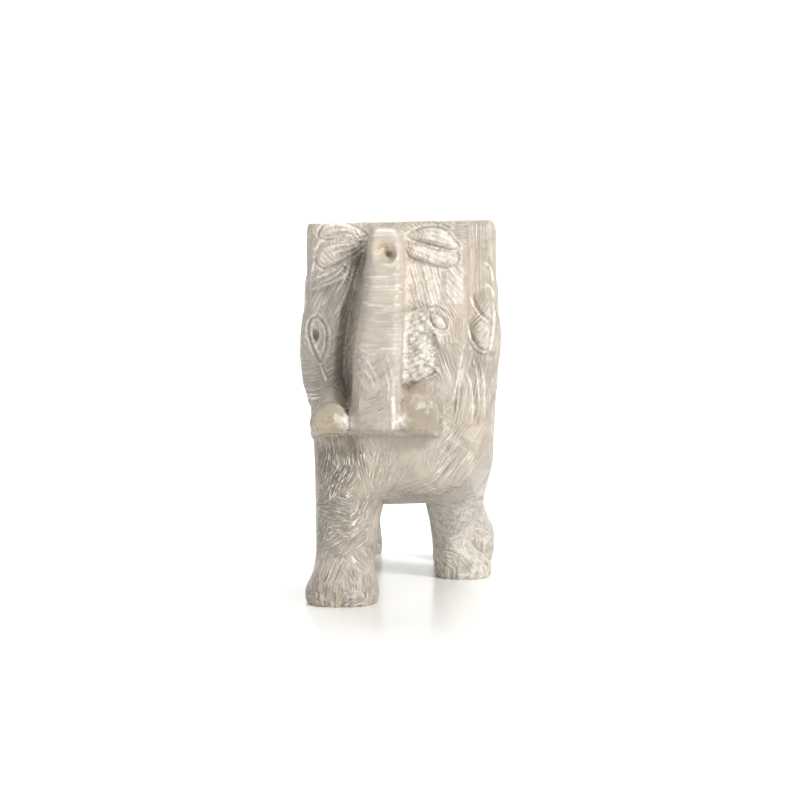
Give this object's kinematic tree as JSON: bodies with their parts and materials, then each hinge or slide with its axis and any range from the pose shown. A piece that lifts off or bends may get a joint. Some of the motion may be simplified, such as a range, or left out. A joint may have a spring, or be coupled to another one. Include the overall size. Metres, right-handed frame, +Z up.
{
  "type": "elephant figurine",
  "caption": "Walking elephant carved from one block of pale soft stone, trunk raised against the forehead, flat top, short tusks.",
  "frame": {"origin": "middle of the bounding box, at the soles", "axes": "+Z up from the soles to the flat top, -Y where the elephant faces, +X to its left"},
  "size_m": [0.055, 0.1108, 0.1004],
  "materials": {
    "stone": "hand chiselled, silky, half polished on the smooth parts"
  },
  "bodies": {
    "root": {"elephant": "stone"}
  },
  "joints": []
}
